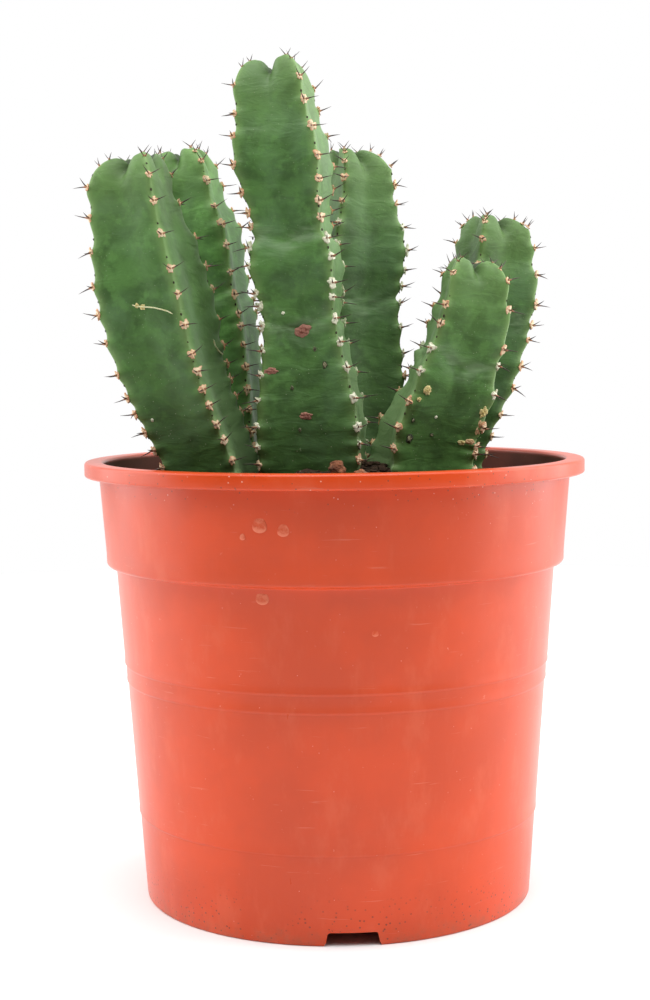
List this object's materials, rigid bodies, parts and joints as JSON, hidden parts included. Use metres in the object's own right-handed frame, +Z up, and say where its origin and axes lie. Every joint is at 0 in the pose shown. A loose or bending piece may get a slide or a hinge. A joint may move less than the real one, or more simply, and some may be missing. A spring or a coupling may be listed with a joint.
{
  "type": "potted tall cactus",
  "caption": "Upright ribbed succulent with paired spines, a cluster of square green stems standing in a tapered, lipped nursery pot with drainage notches.",
  "frame": {"origin": "middle of the pot's foot, on the surface that the pot stands on", "axes": "+Z up, the plant's height; +X to the viewer's right when the plant is seen from its front; the front faces -Y"},
  "size_m": [0.1906, 0.1906, 0.3173],
  "materials": {
    "terracotta_plastic": "satin moulded, lightly scuffed",
    "potting_soil": "rough and crumbly",
    "green_skin": "waxy living skin",
    "spine": "dry and horny, pale at the root",
    "bark": "dry and rough"
  },
  "bodies": {
    "root": {"pot": "terracotta_plastic", "potting_soil": "potting_soil", "stem_centre": "green_skin", "stem_left_front": "green_skin", "stem_left_back": "green_skin", "stem_right_centre": "green_skin", "stem_right_front": "green_skin", "stem_right_back": "green_skin", "bark_chip_1": "bark", "bark_chip_2": "bark", "bark_chip_3": "bark", "bark_chip_4": "bark", "bark_chip_5": "bark", "bark_chip_6": "bark"}
  },
  "joints": []
}
